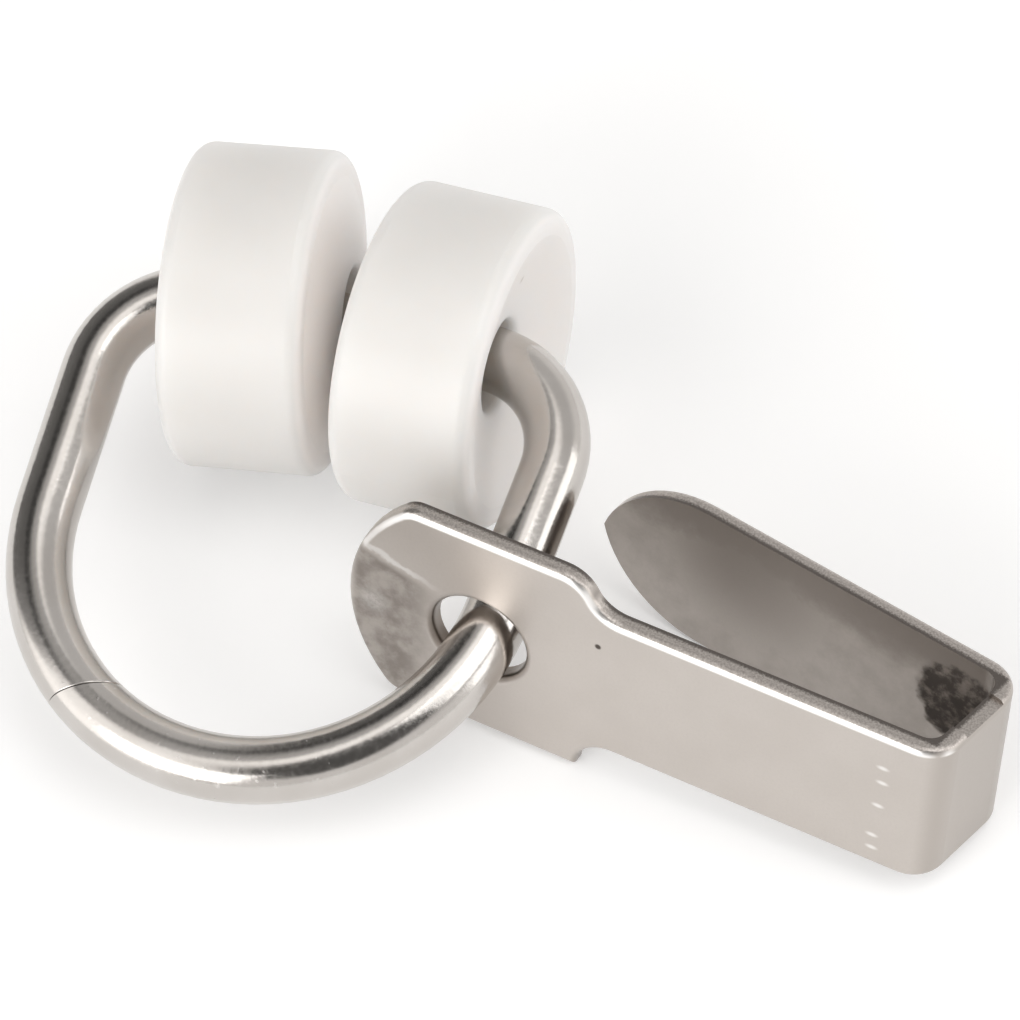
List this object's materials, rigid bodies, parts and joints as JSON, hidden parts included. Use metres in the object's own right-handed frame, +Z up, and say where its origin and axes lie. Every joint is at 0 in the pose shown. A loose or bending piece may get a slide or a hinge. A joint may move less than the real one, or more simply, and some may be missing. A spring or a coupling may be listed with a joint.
{
  "type": "curtain glider",
  "caption": "Curtain glider: plain plastic rollers loose on a bent wire ring, with a folded sheet-metal hook clip hanging from the ring by its eye.",
  "frame": {"origin": "middle of the overall box on the table the glider lies on", "axes": "+X along the overall length, from the rollers' end towards the clip's fold; +Y from the clip towards the rollers; +Z up from the table"},
  "size_m": [0.031, 0.0206, 0.0099],
  "materials": {
    "wire": "bright plated steel wire, polished, with fine marks along it",
    "roller": "off-white moulded nylon, softly shiny",
    "clip": "plated sheet steel, satin bright, with a grainy sheared edge"
  },
  "bodies": {
    "ring": {"wire_ring": "wire"},
    "left_wheel": {"left_roller": "roller"},
    "right_wheel": {"right_roller": "roller"},
    "clip": {"hook_clip": "clip"}
  },
  "joints": [
    {"name": "left_roller_turn", "type": "hinge", "parent": "ring", "child": "left_wheel", "pos_m": [-0.01002, 0.00511, 0.00495], "axis": [0.9877, 0.1564, 0], "continuous": true},
    {"name": "right_roller_turn", "type": "hinge", "parent": "ring", "child": "right_wheel", "pos_m": [-0.00382, 0.00495, 0.00495], "axis": [-0.9997, 0.0244, 0], "continuous": true},
    {"name": "clip_swing", "type": "hinge", "parent": "ring", "child": "clip", "pos_m": [-0.00013, -0.0036, 0.00355], "axis": [-0.197, -0.9694, -0.1467], "range_deg": [-60, 95]}
  ]
}
